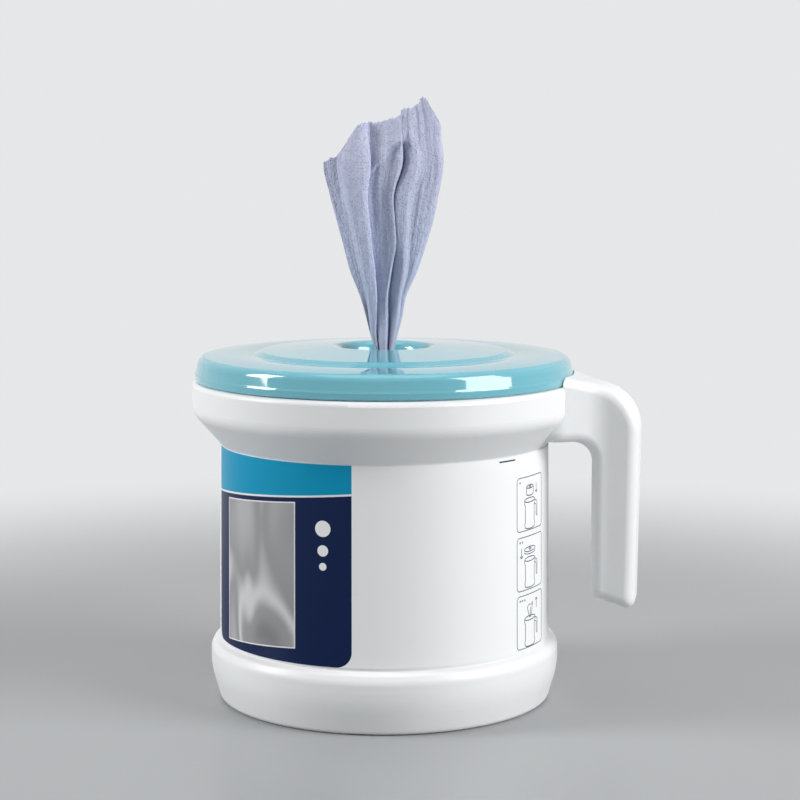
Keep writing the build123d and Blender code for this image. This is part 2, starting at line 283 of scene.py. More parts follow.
def moulded_skin_group():
    """Skin of moulded plastic: a soft unevenness, and faint rubbing that shows in the gloss."""
    group, entry, leave = new_group(
        "moulded skin",
        [
            ("Place", "NodeSocketVector", None),
            ("Waviness", "NodeSocketFloat", 0.3),
            ("Gloss", "NodeSocketFloat", 0.3),
            ("Rubbing", "NodeSocketFloat", 0.05),
        ],
        [("Roughness", "NodeSocketFloat"), ("Normal", "NodeSocketVector")],
    )
    place = entry.outputs["Place"]
    broad = add_node(group, "ShaderNodeTexNoise", in_Vector=place, in_Scale=55.0, in_Detail=2.0)
    fine = add_node(group, "ShaderNodeTexNoise", in_Vector=place, in_Scale=900.0, in_Detail=1.0)
    worn = add_node(
        group, "ShaderNodeTexNoise", in_Vector=place, in_Scale=28.0, in_Detail=5.0, in_Roughness=0.7
    )
    height = maths(group, "MULTIPLY_ADD", fine.outputs[0], 0.06, broad.outputs[0])
    bump = add_node(
        group, "ShaderNodeBump", in_Distance=0.0006, in_Strength=entry.outputs["Waviness"], in_Height=height
    )
    centred = maths(group, "SUBTRACT", worn.outputs[0], 0.5)
    spread = maths(group, "MULTIPLY", centred, entry.outputs["Rubbing"])
    feed(group, maths(group, "ADD", entry.outputs["Gloss"], spread), leave.inputs["Roughness"])
    feed(group, bump.outputs[0], leave.inputs["Normal"])
    return group


def wiping_paper_group():
    """Embossed two-ply wiping paper: pressed dots whose hollows carry painted shade, crepe across the pull,
    and cloudy fibre.
    """
    group, entry, leave = new_group(
        "wiping paper",
        [
            ("Place", "NodeSocketVector", None),
            ("Tint", "NodeSocketColor", None),
            # the darker tint is painted shade for the hollows of the pressed dots
            ("Pressed Tint", "NodeSocketColor", None),
            ("Dot Pitch", "NodeSocketFloat", 0.0013),
            ("Dot Depth", "NodeSocketFloat", 0.85),
        ],
        [("Color", "NodeSocketColor"), ("Roughness", "NodeSocketFloat"), ("Normal", "NodeSocketVector")],
    )
    place = entry.outputs["Place"]
    pitch = maths(group, "DIVIDE", 1.0, entry.outputs["Dot Pitch"])
    dots = add_node(group, "ShaderNodeTexVoronoi", in_Vector=place, in_Scale=pitch, in_Randomness=0.55)
    pressed = add_node(
        group, "ShaderNodeMapRange", interpolation_type="SMOOTHSTEP", in_Value=dots.outputs["Distance"],
        in_From_Min=0.12, in_From_Max=0.5,
    )
    along = add_node(group, "ShaderNodeMapping", in_Vector=place, in_Scale=(0.35, 1.0, 1.0))
    crepe = add_node(group, "ShaderNodeTexNoise", in_Vector=along.outputs[0], in_Scale=1500.0, in_Detail=2.0)
    cloud = add_node(group, "ShaderNodeTexNoise", in_Vector=place, in_Scale=160.0, in_Detail=4.0)
    height = maths(group, "MULTIPLY_ADD", crepe.outputs[0], 0.5, pressed.outputs[0])
    bump = add_node(
        group, "ShaderNodeBump", in_Distance=0.00028, in_Strength=entry.outputs["Dot Depth"], in_Height=height
    )
    # painted shade: the colour darkens in the hollows of the pressed dots, over a cloudy fibre tone that
    # varies at random
    raised = maths(group, "MULTIPLY", pressed.outputs[0], 0.5)
    shade = maths(group, "MULTIPLY_ADD", cloud.outputs[0], 0.8, raised)
    tint = mixed(group, shade, entry.outputs["Pressed Tint"], entry.outputs["Tint"])
    feed(group, tint, leave.inputs["Color"])
    feed(group, maths(group, "MULTIPLY_ADD", cloud.outputs[0], 0.08, 0.88), leave.inputs["Roughness"])
    feed(group, bump.outputs[0], leave.inputs["Normal"])
    return group


def printed_patch_group():
    """Mask of a printed patch with round corners, on a film that is wrapped round an upright axis."""
    group, entry, leave = new_group(
        "printed patch",
        [
            ("Across", "NodeSocketFloat", 0.0),
            ("Up", "NodeSocketFloat", 0.0),
            ("Middle Across", "NodeSocketFloat", 0.0),
            ("Middle Up", "NodeSocketFloat", 0.0),
            ("Half Width", "NodeSocketFloat", 10.0),
            ("Half Height", "NodeSocketFloat", 10.0),
            ("Corner", "NodeSocketFloat", 1.0),
            ("Slant", "NodeSocketFloat", 0.0),
        ],
        [("Mask", "NodeSocketFloat")],
    )
    value = entry.outputs
    across = maths(group, "SUBTRACT", value["Across"], value["Middle Across"])
    lift = maths(group, "MULTIPLY", across, value["Slant"])
    up = maths(group, "SUBTRACT", maths(group, "SUBTRACT", value["Up"], value["Middle Up"]), lift)
    over = []
    for reach, half in ((across, "Half Width"), (up, "Half Height")):
        inner = maths(group, "SUBTRACT", value[half], value["Corner"])
        over.append(maths(group, "SUBTRACT", maths(group, "ABSOLUTE", reach), inner))
    outside = [maths(group, "MAXIMUM", term, 0.0) for term in over]
    squares = [maths(group, "MULTIPLY", term, term) for term in outside]
    corner = maths(group, "SQRT", maths(group, "ADD", squares[0], squares[1]))
    inside = maths(group, "MINIMUM", maths(group, "MAXIMUM", over[0], over[1]), 0.0)
    distance = maths(group, "SUBTRACT", maths(group, "ADD", corner, inside), value["Corner"])
    # a soft edge, 0.06 mm to each side of the outline
    edge = add_node(group, "ShaderNodeMapRange", in_Value=distance, in_From_Min=0.06, in_From_Max=-0.06)
    feed(group, edge.outputs[0], leave.inputs["Mask"])
    return group


# Materials


def object_place(tree):
    """Place on the piece, in metres."""
    return tree.nodes.new("ShaderNodeTexCoord").outputs["Object"]


def wear_skin(tree, shader, skin, waviness, gloss, rubbing):
    """Gives a shader the gloss and the unevenness of moulded plastic."""
    made = use_group(tree, skin, Place=object_place(tree), Waviness=waviness, Gloss=gloss, Rubbing=rubbing)
    feed(tree, made.outputs["Roughness"], shader.inputs["Roughness"])
    feed(tree, made.outputs["Normal"], shader.inputs["Normal"])


def plastic(name, skin, color, waviness, gloss, rubbing, **values):
    """A moulded plastic of one colour."""
    material, tree, shader = new_material(name, Base_Color=(*color, 1.0), **values)
    wear_skin(tree, shader, skin, waviness, gloss, rubbing)
    return material


def paper_material(name, group, place_name=None):
    """Wiping paper, on the piece's own map where it has one."""
    material, tree, shader = new_material(
        name, Sheen_Weight=0.25, Sheen_Roughness=0.6, Specular_IOR_Level=0.25
    )
    if place_name:
        place = add_node(tree, "ShaderNodeUVMap", uv_map=place_name).outputs[0]
    else:
        place = object_place(tree)
    # the second tint is painted shade in the hollows of the pressed dots
    made = use_group(tree, group, Place=place, Tint=PAPER_TINT, Pressed_Tint=PRESSED_DOT_SHADE_TINT)
    for socket, target in (("Color", "Base Color"), ("Roughness", "Roughness"), ("Normal", "Normal")):
        feed(tree, made.outputs[socket], shader.inputs[target])
    return material


def soft_folds(tree, across, up):
    """The label's picture: soft folds that lean, in greys."""
    spot = add_node(
        tree, "ShaderNodeCombineXYZ",
        in_0=maths(tree, "MULTIPLY", across, 0.030), in_1=maths(tree, "MULTIPLY", up, 0.014),
    )
    lean = (0.0, 0.0, radians(24))
    leant = add_node(tree, "ShaderNodeMapping", in_Vector=spot.outputs[0], in_Rotation=lean)
    folds = add_node(
        tree, "ShaderNodeTexNoise", in_Vector=leant.outputs[0],
        in_Scale=0.75, in_Detail=1.0, in_Distortion=0.6,
    )
    greys = add_node(tree, "ShaderNodeValToRGB", in_Fac=folds.outputs[0])
    greys.color_ramp.interpolation = "EASE"
    stops = greys.color_ramp.elements
    for place, grey in FOLD_GREYS:
        stops.new(place).color = (grey, grey, 1.02 * grey, 1.0)
    stops.remove(stops[0])
    stops.remove(stops[-1])
    return greys.outputs[0]


def label_material(patch, skin):
    """White film with a blue panel at the left, printed in millimetres round the bucket."""
    material, tree, shader = new_material("label film", Specular_IOR_Level=0.15)
    split = add_node(tree, "ShaderNodeSeparateXYZ", in_Vector=object_place(tree))
    x, y, z = split.outputs
    turn = maths(tree, "ARCTAN2", x, maths(tree, "MULTIPLY", y, -1.0))
    degrees = maths(tree, "SUBTRACT", maths(tree, "MULTIPLY", turn, 180 / pi), FRONT_TURN)
    across = maths(tree, "MULTIPLY", degrees, MM_IN_A_DEGREE)
    up = maths(tree, "MULTIPLY", z, 1 / MM)

    def block(left, right, low, high, corner=0.2, slant=0.0):
        """A patch between two turns in degrees and two heights in millimetres."""
        return use_group(
            tree, patch, Across=across, Up=up,
            Middle_Across=(left + right) / 2 * MM_IN_A_DEGREE, Middle_Up=(low + high) / 2,
            Half_Width=(right - left) / 2 * MM_IN_A_DEGREE, Half_Height=(high - low) / 2,
            Corner=corner, Slant=slant,
        ).outputs["Mask"]

    color = mixed(tree, block(*PANEL_SIDES, *PANEL_HEIGHTS, PANEL_CORNER), FILM_WHITE, NAVY)
    color = mixed(tree, block(*PICTURE_FRAME, slant=PRINT_SLANT), color, PALE)
    color = mixed(tree, block(*PICTURE, slant=PRINT_SLANT), color, soft_folds(tree, across, up))
    # a header band that rises to the right, and a thin pale rule under it
    color = mixed(tree, block(*PANEL_SIDES, RULE_FOOT, HEADER_TOP, slant=PRINT_SLANT), color, PALE)
    color = mixed(tree, block(*PANEL_SIDES, HEADER_FOOT, HEADER_TOP, slant=PRINT_SLANT), color, CYAN)
    for height, reach in WHITE_DOTS:
        side = reach / MM_IN_A_DEGREE
        dot = block(DOTS_AT - side, DOTS_AT + side, height - reach, height + reach, reach)
        color = mixed(tree, dot, color, FILM_WHITE)
    color = mixed(tree, block(*DASH, corner=0.1), color, INK)
    feed(tree, color, shader.inputs["Base Color"])
    wear_skin(tree, shader, skin, waviness=0.12, gloss=0.36, rubbing=0.08)
    return material


def set_material(piece, material):
    """Gives every slot of a piece one material."""
    piece.data.materials.clear()
    piece.data.materials.append(material)


# Paper


def smooth_through(knots, values, at):
    """Values at the places at, on a smooth curve through values at the knots. Values may be arrays."""
    knots, values, at = np.asarray(knots, float), np.asarray(values, float), np.asarray(at, float)
    steps = np.diff(knots)
    slopes = np.diff(values, axis=0) / steps.reshape((-1,) + (1,) * (values.ndim - 1))
    tangents = np.empty_like(values)
    tangents[0], tangents[-1] = slopes[0], slopes[-1]
    weight = (steps[:-1] / (steps[:-1] + steps[1:])).reshape((-1,) + (1,) * (values.ndim - 1))
    tangents[1:-1] = slopes[:-1] * (1 - weight) + slopes[1:] * weight
    left = np.clip(np.searchsorted(knots, at, side="right") - 1, 0, len(steps) - 1)
    shape = (-1,) + (1,) * (values.ndim - 1)
    step = steps[left].reshape(shape)
    t = ((at - knots[left]) / steps[left]).reshape(shape)
    return (
        (2 * t**3 - 3 * t**2 + 1) * values[left]
        + (t**3 - 2 * t**2 + t) * step * tangents[left]
        + (3 * t**2 - 2 * t**3) * values[left + 1]
        + (t**3 - t**2) * step * tangents[left + 1]
    )


# Reach of the pulled sheet at each height, in millimetres: to the left, to the right, and to the front
REACH = {
    358: (19, 28.5, 5.5),
    345: (25, 31, 7.5),
    335: (30.5, 31.5, 9.5),
    320: (36, 33, 12.5),
    300: (32.5, 30, 14),
    285: (28.5, 27, 13.5),
    270: (24.5, 23, 12.5),
    255: (20.5, 18.5, 11),
    240: (14.5, 12.5, 9.5),
    228: (11, 10.5, 8),
    218: (8.5, 8, 6.5),
    208: (5.4, 5.8, 5.5),
}
# Folds of the sheet in plan, as shares of that reach: (right, away), from the left edge in front,
# over the folds to the right edge, and round behind to the other edge at the left. Counted from
# nought, places 3, 8 and 11 are the crests of the folds in front, and 4 and 9 lie tucked behind.
FOLDS = {
    350: [
        (-0.75, -0.7), (-0.65, -0.9), (-0.55, -1.0), (-0.45, -0.8), (-0.35, -0.5),
        (-0.25, -0.6), (-0.05, -0.8), (0.13, -0.85), (0.27, -0.85), (0.35, -0.82),
        (0.43, -0.8), (0.53, -0.78), (0.67, -0.68), (0.85, -0.6), (1.0, -0.5),
        (0.85, 1.0), (0.5, 1.2), (0.15, 1.0), (-0.3, 0.8), (-1.0, 0.9),
    ],
    335: [
        (-0.75, -0.6), (-0.62, -0.95), (-0.5, -1.0), (-0.35, -0.85), (-0.27, -0.55),
        (-0.18, -0.6), (-0.03, -0.75), (0.12, -0.75), (0.27, -0.8), (0.35, -0.75),
        (0.43, -0.78), (0.53, -0.8), (0.68, -0.65), (0.86, -0.6), (1.0, -0.5),
        (0.83, 0.95), (0.46, 1.2), (0.12, 0.9), (-0.32, 0.6), (-1.0, 0.9),
    ],
    320: [
        (-0.76, -0.55), (-0.58, -0.95), (-0.4, -1.0), (-0.23, -0.85), (-0.2, -0.55),
        (-0.14, -0.6), (-0.03, -0.68), (0.11, -0.68), (0.28, -0.82), (0.33, -0.25),
        (0.42, -0.65), (0.54, -0.85), (0.68, -0.62), (0.86, -0.57), (1.0, -0.5),
        (0.8, 0.9), (0.42, 1.2), (0.1, 0.8), (-0.35, 0.4), (-1.0, 0.95),
    ],
    300: [
        (-0.75, -0.55), (-0.6, -0.9), (-0.43, -1.0), (-0.3, -0.85), (-0.32, -0.5),
        (-0.25, -0.5), (-0.09, -0.6), (0.03, -0.66), (0.17, -0.76), (0.15, -0.25),
        (0.27, -0.75), (0.42, -0.8), (0.6, -0.62), (0.85, -0.58), (1.0, -0.5),
        (0.8, 0.9), (0.4, 1.1), (0.07, 0.7), (-0.4, 0.4), (-1.0, 0.95),
    ],
    270: [
        (-0.72, -0.6), (-0.6, -0.9), (-0.44, -1.0), (-0.3, -0.9), (-0.34, -0.45),
        (-0.25, -0.45), (-0.08, -0.58), (0.11, -0.66), (0.29, -0.78), (0.25, -0.3),
        (0.36, -0.7), (0.48, -0.78), (0.63, -0.62), (0.85, -0.58), (1.0, -0.5),
        (0.8, 0.8), (0.37, 1.0), (0.05, 0.6), (-0.45, 0.4), (-1.0, 0.9),
    ],
    240: [
        (-0.74, -0.7), (-0.62, -0.9), (-0.46, -1.0), (-0.29, -0.9), (-0.34, -0.3),
        (-0.25, -0.35), (-0.12, -0.58), (0.0, -0.7), (0.11, -0.75), (0.25, -0.15),
        (0.58, -0.7), (0.67, -0.75), (0.8, -0.6), (0.92, -0.5), (1.0, -0.4),
        (0.78, 0.7), (0.43, 0.8), (0.0, 0.5), (-0.5, 0.5), (-1.0, 0.75),
    ],
    212: [
        (-0.99, -0.65), (-0.88, -0.85), (-0.76, -0.9), (-0.64, -0.8), (-0.6, -0.3),
        (-0.47, -0.85), (-0.17, -1.0), (0.11, -0.95), (0.28, -0.7), (0.37, -0.15),
        (0.54, -0.85), (0.74, -0.85), (0.87, -0.5), (0.95, -0.25), (1.0, 0.0),
        (0.76, 0.8), (0.47, 0.9), (-0.03, 0.7), (-0.55, 0.85), (-1.0, 0.4),
    ],
}
# Height of the torn edge at each place of the course
TORN_EDGE = [323, 337, 341.5, 342, 342.5, 343, 343, 344.5, 346, 350, 350.5, 351, 353.5, 356.5, 346,
             343, 344, 340, 334, 318.5]
# Height of the crease under which the middle of the sheet falls back: (right, height)
CREASE = [(-9.5, 310.5), (-4.0, 316.5), (3.0, 324.5), (8.0, 328.5), (15.0, 330)]
CREASE_DEPTH = 3.0
CREASE_LIP = 2.5
CREASE_FADE = 16
# Height of the course along which the sheet's width is shared out
SHARED_OUT_AT = 300
RAGGEDNESS = 1.3
# Heights between which the strand opens out to the sheet
OPENING_OUT = (193.0, 208.0)
# The crumples start at this height and are full this much above it
CRUMPLE_FOOT = 205
CRUMPLE_RISE = 60

# The gathered strand: millimetres, its start and sweep in degrees, its twist in degrees a millimetre
STRAND_START = 205
STRAND_SWEEP = 345
STRAND_TWIST = 0.35
STRAND_OUTER = 5.9
STRAND_INNER = 1.3
STRAND_PLEATS = 19
STRAND_BASE = 20.0
NOZZLE_TOP = 188.7


def eased(value, low, high):
    """Nought below low, one above high, and smooth in between."""
    part = np.clip((value - low) / (high - low), 0, 1)
    return part * part * (3 - 2 * part)


def in_order(table):
    """Keys of a table in rising order, and its values in that order, as arrays."""
    keys = sorted(table)
    return np.array(keys, float), np.array([table[key] for key in keys], float)


def torn_sheet_points(columns, rows):
    """Grid of points of the pulled sheet, from the strand's lower end to the torn edge."""
    share = np.linspace(0, 1, columns)
    heights, reaches = in_order(REACH)
    fold_heights, folds = in_order(FOLDS)
    folds = smooth_through(fold_heights, folds, np.clip(heights, fold_heights[0], fold_heights[-1]))
    side = np.where(folds[..., 0] < 0, reaches[:, :1], reaches[:, 1:2])
    places = folds * np.stack([side, np.broadcast_to(reaches[:, 2:], side.shape)], axis=2)
    # the sheet's width is shared out along its course at one height
    steps = np.linalg.norm(np.diff(places[heights == SHARED_OUT_AT][0], axis=0), axis=1)
    knots = np.concatenate([[0.0], np.cumsum(steps)]) / steps.sum()
    course = np.array([smooth_through(knots, level, share) for level in places])
    torn = smooth_through(knots, TORN_EDGE, share)
    torn += [
        RAGGEDNESS * noise.noise((s * 70, 3.1, 0.0)) + RAGGEDNESS * noise.noise((s * 210, 7.7, 0.0))
        for s in share
    ]
    # the part of the width over which the sheet falls back above its crease
    middle = eased(share, knots[4] - 0.01, knots[5]) * (1 - eased(share, knots[8], knots[12]))
    # pleats of the gathered strand
    turn = np.radians(STRAND_START) + np.radians(STRAND_SWEEP) * share
    wave = 0.5 - 0.5 * np.cos(2 * np.pi * STRAND_PLEATS * share)
    reach = STRAND_INNER + (STRAND_OUTER - STRAND_INNER) * wave
    # rows lie closer together towards the torn edge
    rise = np.linspace(0, 1, rows) ** 0.62
    points = np.empty((rows, columns, 3))
    for column in range(columns):
        z = STRAND_BASE + rise * (torn[column] - STRAND_BASE)
        opened = smooth_through(heights, course[:, column], np.clip(z, heights[0], heights[-1]))
        crease = np.interp(opened[:, 0], *zip(*CREASE))
        depth = CREASE_DEPTH * middle[column] * eased(z, crease, crease + CREASE_LIP)
        opened[:, 1] -= depth * np.exp(-np.maximum(z - crease, 0) / CREASE_FADE)
        loose = eased(z, *OPENING_OUT)[:, None]
        spin = turn[column] + np.radians(STRAND_TWIST) * (NOZZLE_TOP - np.minimum(z, NOZZLE_TOP))
        gathered = reach[column] * np.stack([np.cos(spin), np.sin(spin)], axis=1)
        points[:, column, :2] = (1 - loose) * gathered + loose * opened
        points[:, column, 2] = z
    return points


def ripple(across, up, waves):
    """Depth of some waves of noise at one place, in millimetres."""
    depth = 0.0
    for pace_across, pace_up, seed, size in waves:
        depth += noise.noise((across * pace_across, up * pace_up, seed)) * size
    return depth


def crumple(points, columns, rows):
    """Moves the grid along its normals by soft creases that run up the sheet, and small dents."""
    across = np.gradient(points, axis=1)
    along = np.gradient(points, axis=0)
    normal = np.cross(across, along)
    normal /= np.maximum(np.linalg.norm(normal, axis=2, keepdims=True), 1e-9)
    for row in range(rows):
        for column in range(columns):
            u = column / (columns - 1) * WIDTH_IN_MM
            z = points[row, column, 2]
            free = np.clip((z - CRUMPLE_FOOT) / CRUMPLE_RISE, 0, 1)
            points[row, column] += normal[row, column] * free * ripple(u, z, CRUMPLES)
    return points


def to_frame(points):
    """Millimetres seen from the front, as metres in the frame of the solids."""
    right = np.array([cos(FRONT), sin(FRONT), 0.0])
    away = np.array([-sin(FRONT), cos(FRONT), 0.0])
    placed = points[..., 0:1] * right + points[..., 1:2] * away
    placed[..., 2] = points[..., 2]
    return placed * MM


def grid_mesh(name, points, width):
    """A sheet through a grid of points, with a map of its own width and length in metres."""
    rows, columns = points.shape[:2]
    faces = []
    for row in range(rows - 1):
        for column in range(columns - 1):
            first = row * columns + column
            faces.append((first, first + 1, first + columns + 1, first + columns))
    mesh = bpy.data.meshes.new(name)
    mesh.from_pydata(points.reshape(-1, 3).tolist(), [], faces)
    mesh.update()
    length = np.zeros((rows, columns))
    length[1:] = np.cumsum(np.linalg.norm(np.diff(points, axis=0), axis=2), axis=0)
    layer = mesh.uv_layers.new(name="cut")
    place = np.stack(
        [np.broadcast_to(np.linspace(0, width, columns), (rows, columns)), length], axis=2
    ).reshape(-1, 2)
    corners = np.empty(len(mesh.loops), int)
    mesh.loops.foreach_get("vertex_index", corners)
    layer.data.foreach_set("uv", place[corners].astype(np.float32).ravel())
    mesh.shade_smooth()
    return add_object(name, mesh)


def finish_sheet(piece, material):
    """Gives a sheet the paper's thickness, half to each side, and its material."""
    wall = piece.modifiers.new("thickness", "SOLIDIFY")
    wall.thickness = PAPER_THICKNESS
    wall.offset = 0.0
    set_material(piece, material)


def make_torn_sheet(material):
    """The pulled sheet: gathered through the nozzle, opening to its torn edge above the lid."""
    columns, rows = ((281, 190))
    points = to_frame(crumple(torn_sheet_points(columns, rows), columns, rows))
    piece = grid_mesh("pulled_sheet", points, SHEET_WIDTH)
    finish_sheet(piece, material)
    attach(piece, "paper")
    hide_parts("paper_strand", "paper_sheet")


def grown(name, tree, carrier, material, **values):
    """Runs a geometry tree on a carrier with its named inputs, and keeps the result as a plain mesh."""
    modifier = carrier.modifiers.new(name, "NODES")
    modifier.node_group = tree
    given = {**values, "Finish": material}
    for item in tree.interface.items_tree:
        if item.item_type == "SOCKET" and item.in_out == "INPUT" and item.name in given:
            modifier[item.identifier] = given[item.name]
    bpy.context.view_layer.update()
    solved = carrier.evaluated_get(bpy.context.evaluated_depsgraph_get())
    mesh = bpy.data.meshes.new_from_object(solved)
    mesh.name = name
    bpy.data.objects.remove(carrier)
    piece = add_object(name, mesh)
    set_material(piece, material)
    return piece


def geometry_tree(name, inputs):
    """An empty geometry tree with named inputs, and its two end nodes."""
    tree = bpy.data.node_groups.new(name, "GeometryNodeTree")
    tree.interface.new_socket("Geometry", in_out="INPUT", socket_type="NodeSocketGeometry")
    for label, kind in inputs + [("Finish", "NodeSocketMaterial")]:
        tree.interface.new_socket(label, in_out="INPUT", socket_type=kind)
    tree.interface.new_socket("Geometry", in_out="OUTPUT", socket_type="NodeSocketGeometry")
    return tree, tree.nodes.new("NodeGroupInput").outputs, tree.nodes.new("NodeGroupOutput")


def end_tree(tree, entry, leave, geometry):
    """Realize Instances and Set Material, as the last two nodes."""
    plain = add_node(tree, "GeometryNodeRealizeInstances", in_0=geometry)
    coated = add_node(
        tree, "GeometryNodeSetMaterial", in_Geometry=plain.outputs[0], in_Material=entry["Finish"]
    )
    tree.links.new(coated.outputs[0], leave.inputs[0])


def wound_roll_tree():
    """Paper wound turn on turn about an upright axis, each turn a little higher or lower than the last."""
    tree, entry, leave = geometry_tree("wound roll", [
        ("Heart", "NodeSocketFloat"), ("Outside", "NodeSocketFloat"), ("Turns", "NodeSocketFloat"),
        ("Steps", "NodeSocketInt"), ("Width", "NodeSocketFloat"), ("Floor", "NodeSocketFloat"),
        ("Unevenness", "NodeSocketFloat"),
    ])
    pitch = maths(tree, "DIVIDE", maths(tree, "SUBTRACT", entry["Outside"], entry["Heart"]), entry["Turns"])
    half = maths(tree, "MULTIPLY", pitch, 0.5)
    path = add_node(
        tree, "GeometryNodeCurveSpiral", in_Resolution=entry["Steps"], in_Rotations=entry["Turns"],
        in_Start_Radius=maths(tree, "ADD", entry["Heart"], half),
        in_End_Radius=maths(tree, "SUBTRACT", entry["Outside"], half), in_Height=0.0,
    )
    upright = add_node(tree, "GeometryNodeSetCurveNormal", mode="Z_UP", in_0=path.outputs[0])
    edge = add_node(
        tree, "GeometryNodeCurvePrimitiveQuadrilateral",
        in_Width=maths(tree, "MULTIPLY", pitch, 0.96), in_Height=entry["Width"],
    )
    soft = add_node(tree, "GeometryNodeFilletCurve", in_0=edge.outputs[0], in_Radius=0.0003)
    wound = add_node(
        tree, "GeometryNodeCurveToMesh", in_Curve=upright.outputs[0], in_Profile_Curve=soft.outputs[0],
        in_Fill_Caps=True,
    )
    place = add_node(tree, "GeometryNodeInputPosition").outputs[0]
    split = add_node(tree, "ShaderNodeSeparateXYZ", in_0=place).outputs
    flat = add_node(tree, "ShaderNodeCombineXYZ", in_0=split[0], in_1=split[1])
    reach = add_node(tree, "ShaderNodeVectorMath", operation="LENGTH", in_0=flat.outputs[0])
    wander = add_node(
        tree, "ShaderNodeTexNoise", noise_dimensions="1D",
        in_W=maths(tree, "MULTIPLY", reach.outputs["Value"], 700.0), in_Scale=1.0,
    )
    shift = maths(tree, "MULTIPLY", maths(tree, "SUBTRACT", wander.outputs[0], 0.5), entry["Unevenness"])
    half_width = maths(tree, "MULTIPLY", entry["Width"], 0.5)
    lift = maths(tree, "ADD", maths(tree, "ADD", entry["Floor"], half_width), shift)
    raised = add_node(tree, "ShaderNodeCombineXYZ", in_2=lift)
    moved = add_node(
        tree, "GeometryNodeSetPosition", in_Geometry=wound.outputs[0], in_Offset=raised.outputs[0]
    )
    end_tree(tree, entry, leave, moved.outputs[0])
    return tree


def make_wound_roll(material):
    """The coreless roll: the sheet's edges wind from the heart to the outside."""
    carrier = add_object("roll_carrier", bpy.data.meshes.new("roll_carrier"))
    piece = grown(
        "wound_roll", wound_roll_tree(), carrier, material,
        Heart=HEART_RADIUS, Outside=ROLL_RADIUS, Turns=ROLL_TURNS, Steps=STEPS_IN_A_TURN,
        Width=SHEET_WIDTH - 2 * ROLL_END_GAP, Floor=ROLL_FLOOR + ROLL_END_GAP, Unevenness=1.0 * MM,
    )
    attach(piece, "bucket")
    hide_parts("paper_roll")


def make_loose_turn(material):
    """The innermost turn, pulled off the heart's wall and round towards the gathered strand."""
    share = np.linspace(0, 1, 91)
    heights = np.linspace(LOOSE_FOOT, LOOSE_TOP, 60)
    points = np.empty((len(share), len(heights), 3))
    for step, part in enumerate(share):
        turn = radians(LOOSE_SWEEP * part)
        drawn_in = LOOSE_START + (LOOSE_END - LOOSE_START) * part**LOOSE_TIGHTENING
        for level, z in enumerate(heights):
            radius = drawn_in + sin(pi * part) * ripple(part, z, LOOSE_WAVES)
            points[step, level] = radius * cos(turn) * MM, radius * sin(turn) * MM, z * MM
    width = (LOOSE_TOP - LOOSE_FOOT) * MM
    piece = grid_mesh("loose_turn", points, width)
    finish_sheet(piece, material)
    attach(piece, "bucket")
    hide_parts("inner_turn")


# Printed pictures on the label


def arc(x, z, wide, high, start=0, stop=360, steps=26):
    """Points of an upright ellipse, or of a part of it, in millimetres."""
    turns = [radians(start + (stop - start) * step / steps) for step in range(steps + 1)]
    return [(x + wide * cos(turn), z + high * sin(turn)) for turn in turns]


def frame_line(x, z, half_width, half_height, corner):
    """A rectangle with round corners."""
    line = []
    for across, up, start in ((1, 1, 0), (-1, 1, 90), (-1, -1, 180), (1, -1, 270)):
        middle_x = x + across * (half_width - corner)
        middle_z = z + up * (half_height - corner)
        line += arc(middle_x, middle_z, corner, corner, start, start + 90, 6)
    return line + line[:1]


def moved_line(x, z, places):
    """A line through places given from the point (x, z)."""
    return [(x + across, z + up) for across, up in places]


def arrow_line(x, top, foot, head=1.6):
    """An arrow from top to foot, with an open head at its foot."""
    back = head if top > foot else -head
    return [[(x, top), (x, foot)], [(x - head, foot + back), (x, foot), (x + head, foot + back)]]


def bucket_lines(x, z):
    """A small bucket with its collar, base ring and hook handle."""
    left = [(-6.4, 8.0), (-6.4, 6.0), (-5.4, 4.4), (-5.4, -4.6), (-6.0, -5.4), (-6.0, -7.4)]
    right = [(6.0, -5.4), (5.4, -4.6), (5.4, 4.4), (6.4, 6.0), (6.4, 8.0)]
    handle = [(6.4, 7.2), (9.0, 6.4), (9.6, 5.2), (9.6, -2.6), (8.2, -2.2), (8.2, 4.4), (6.0, 5.0)]
    foot = arc(x, z - 7.4, 6.0, 1.3, 180, 360, 14)
    return [
        arc(x, z + 8.0, 6.4, 1.3),
        moved_line(x, z, left) + foot + moved_line(x, z, right),
        moved_line(x, z, handle),
    ]


